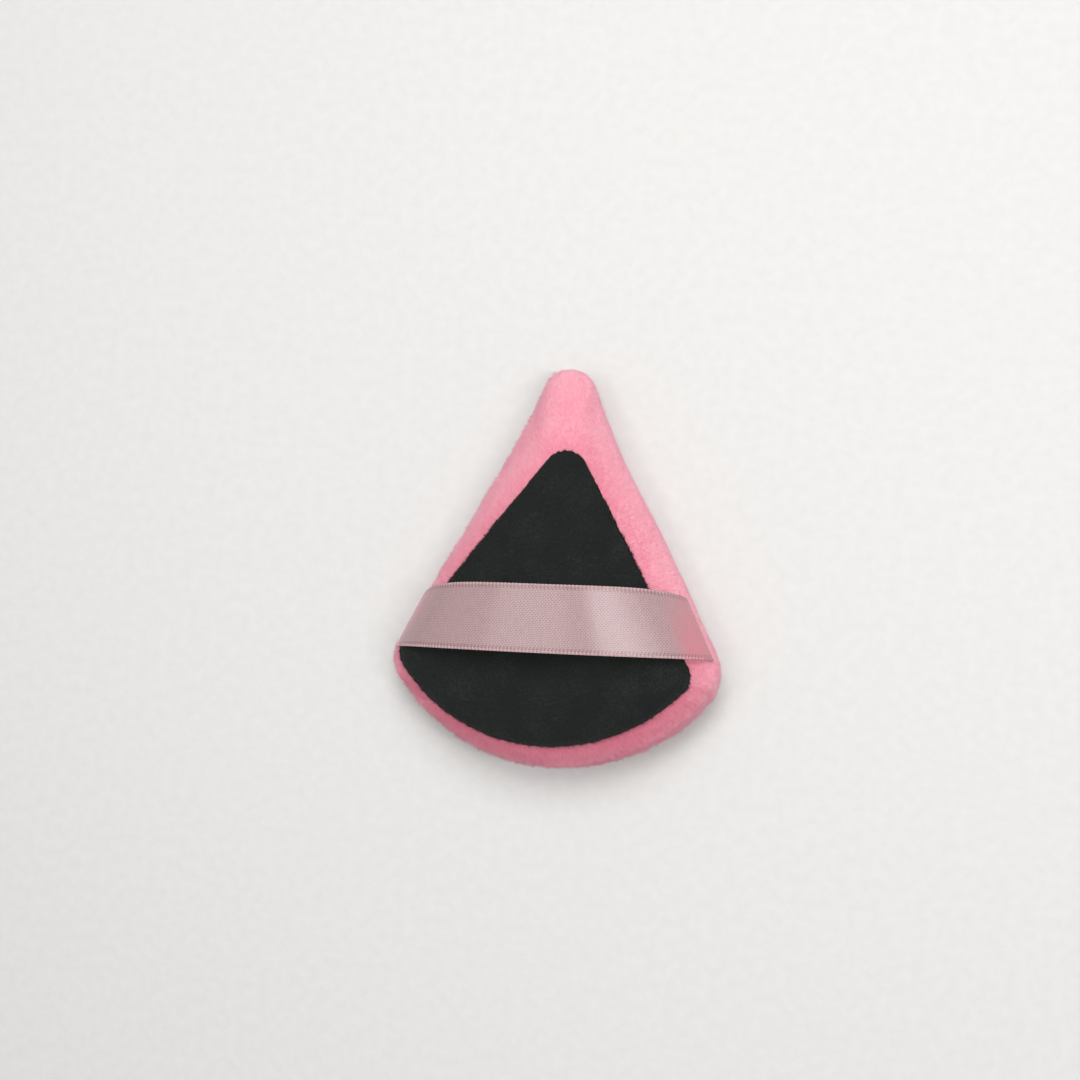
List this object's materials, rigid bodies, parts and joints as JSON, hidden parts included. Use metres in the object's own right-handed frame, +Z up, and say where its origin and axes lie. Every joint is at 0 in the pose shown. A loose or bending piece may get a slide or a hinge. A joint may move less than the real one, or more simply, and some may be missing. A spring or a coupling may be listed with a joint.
{
  "type": "powder puff",
  "caption": "Triangular velour powder puff with a bowed base and a narrow tip, a velvet back panel and an arched satin ribbon strap for the finger.",
  "frame": {"origin": "on the surface that the velour face lies on, under the middle of the puff's outline", "axes": "+Z up out of the back, +Y from the bowed base to the tip, +X to the right seen from the strap side"},
  "size_m": [0.0748, 0.09, 0.0253],
  "materials": {
    "pink_velour": "short dense pile, matt with a soft sheen",
    "black_velvet": "fine short pile, matt",
    "satin_ribbon": "single-face satin with woven edges",
    "latex_foam": "open-cell foam, matt",
    "bond_film": "hot-melt film, dull",
    "sewing_thread": "twisted polyester"
  },
  "bodies": {
    "pad": {"face_cover": "pink_velour", "back_cover": "pink_velour", "foam_core": "latex_foam", "panel_bond_film": "bond_film", "back_panel": "black_velvet", "edge_seam_thread": "sewing_thread", "closing_seam_thread": "sewing_thread", "left_strap_tack": "sewing_thread", "right_strap_tack": "sewing_thread"},
    "strap": {"ribbon_strap": "satin_ribbon"}
  },
  "joints": [
    {"name": "strap_lift", "type": "slide", "parent": "pad", "child": "strap", "axis": [0, 0, 1], "range_m": [0, 0.006], "deforming": ["ribbon_strap"]}
  ]
}
